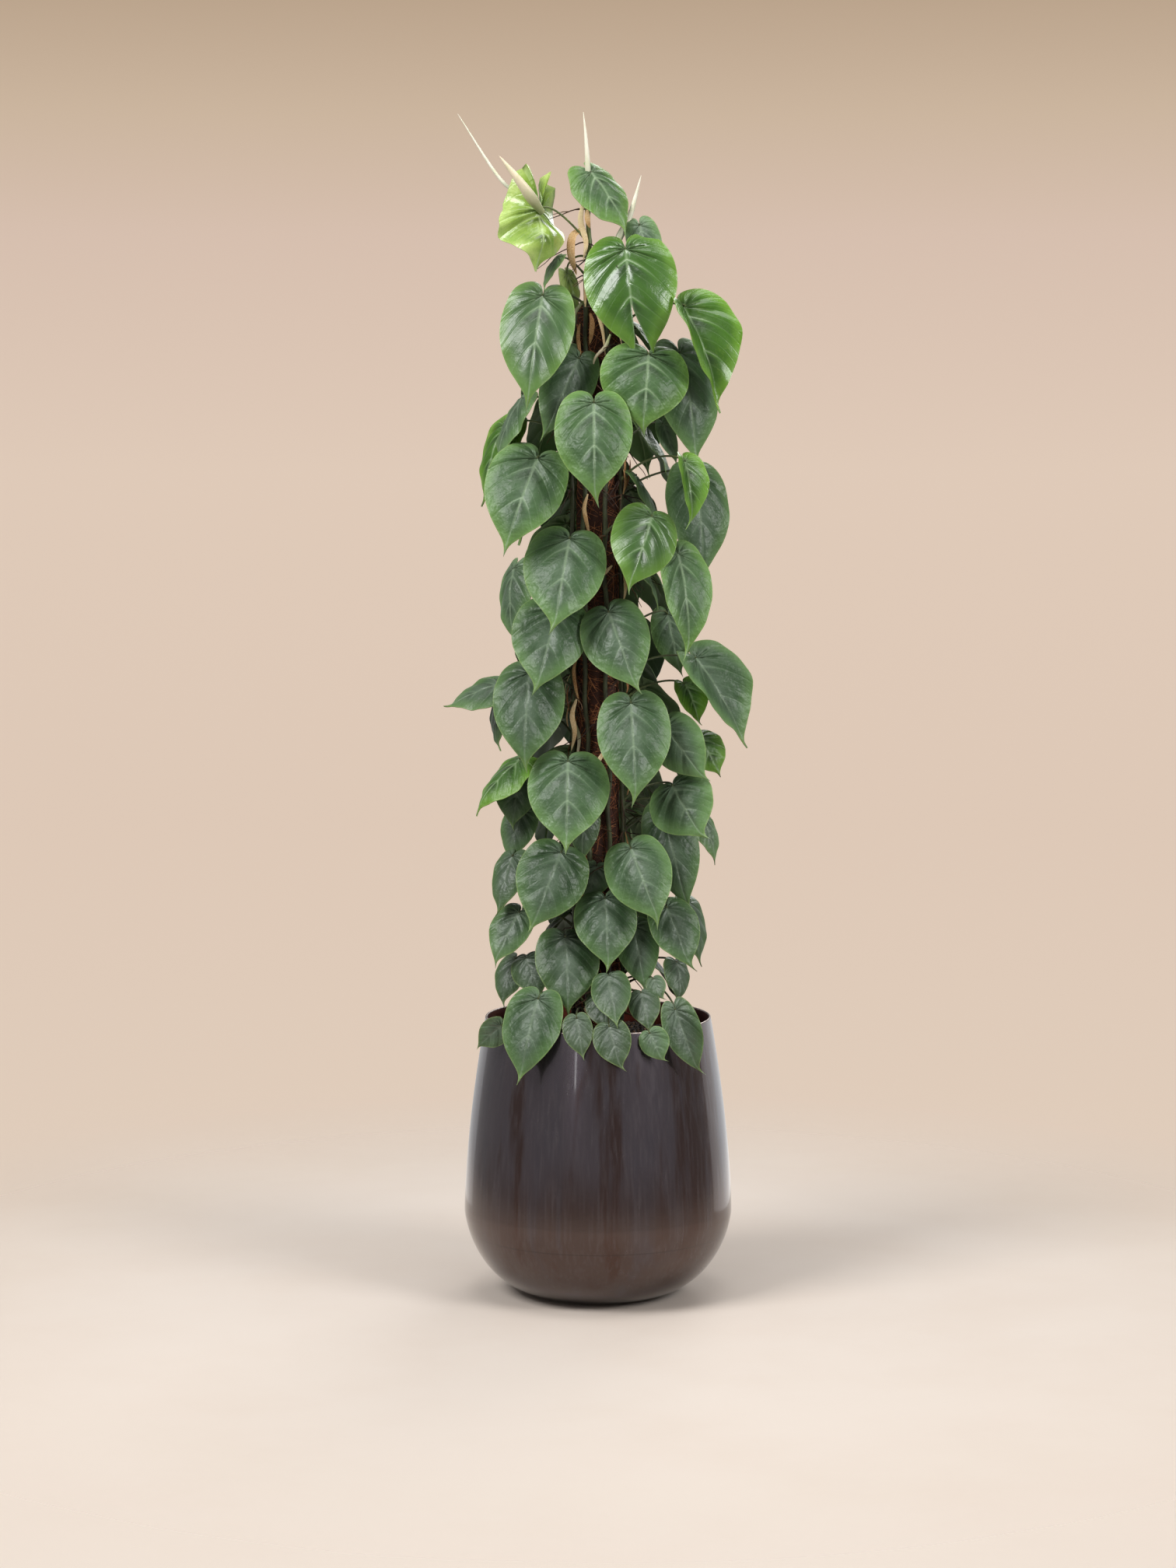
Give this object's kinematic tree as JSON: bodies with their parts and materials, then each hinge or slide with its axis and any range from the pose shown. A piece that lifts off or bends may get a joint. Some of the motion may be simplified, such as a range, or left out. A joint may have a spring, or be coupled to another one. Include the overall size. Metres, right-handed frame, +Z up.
{
  "type": "potted heartleaf philodendron",
  "caption": "Heartleaf philodendron on a coir pole in a round-bellied metal planter, with heart-shaped leaves that hang in overlapping tiers.",
  "frame": {"origin": "centre of the planter's flat foot, on the surface it stands on", "axes": "+Z up along the pole, -Y to the front, which the picture shows, +X to the right seen from the front"},
  "size_m": [0.3508, 0.312, 1.3596],
  "materials": {
    "planter_metal": "satin",
    "soil": "matte",
    "stake": "matte",
    "coir": "matte",
    "leaf": "satin"
  },
  "bodies": {
    "root": {"planter": "planter_metal", "potting_soil": "soil", "pole_stake": "stake", "coir_sleeve": "coir", "vine_front_left": "leaf", "vine_left": "leaf", "vine_front_right": "leaf", "vine_right": "leaf", "vine_right_back": "leaf", "vine_back_right": "leaf", "vine_back_left": "leaf", "vine_left_back": "leaf"}
  },
  "joints": []
}
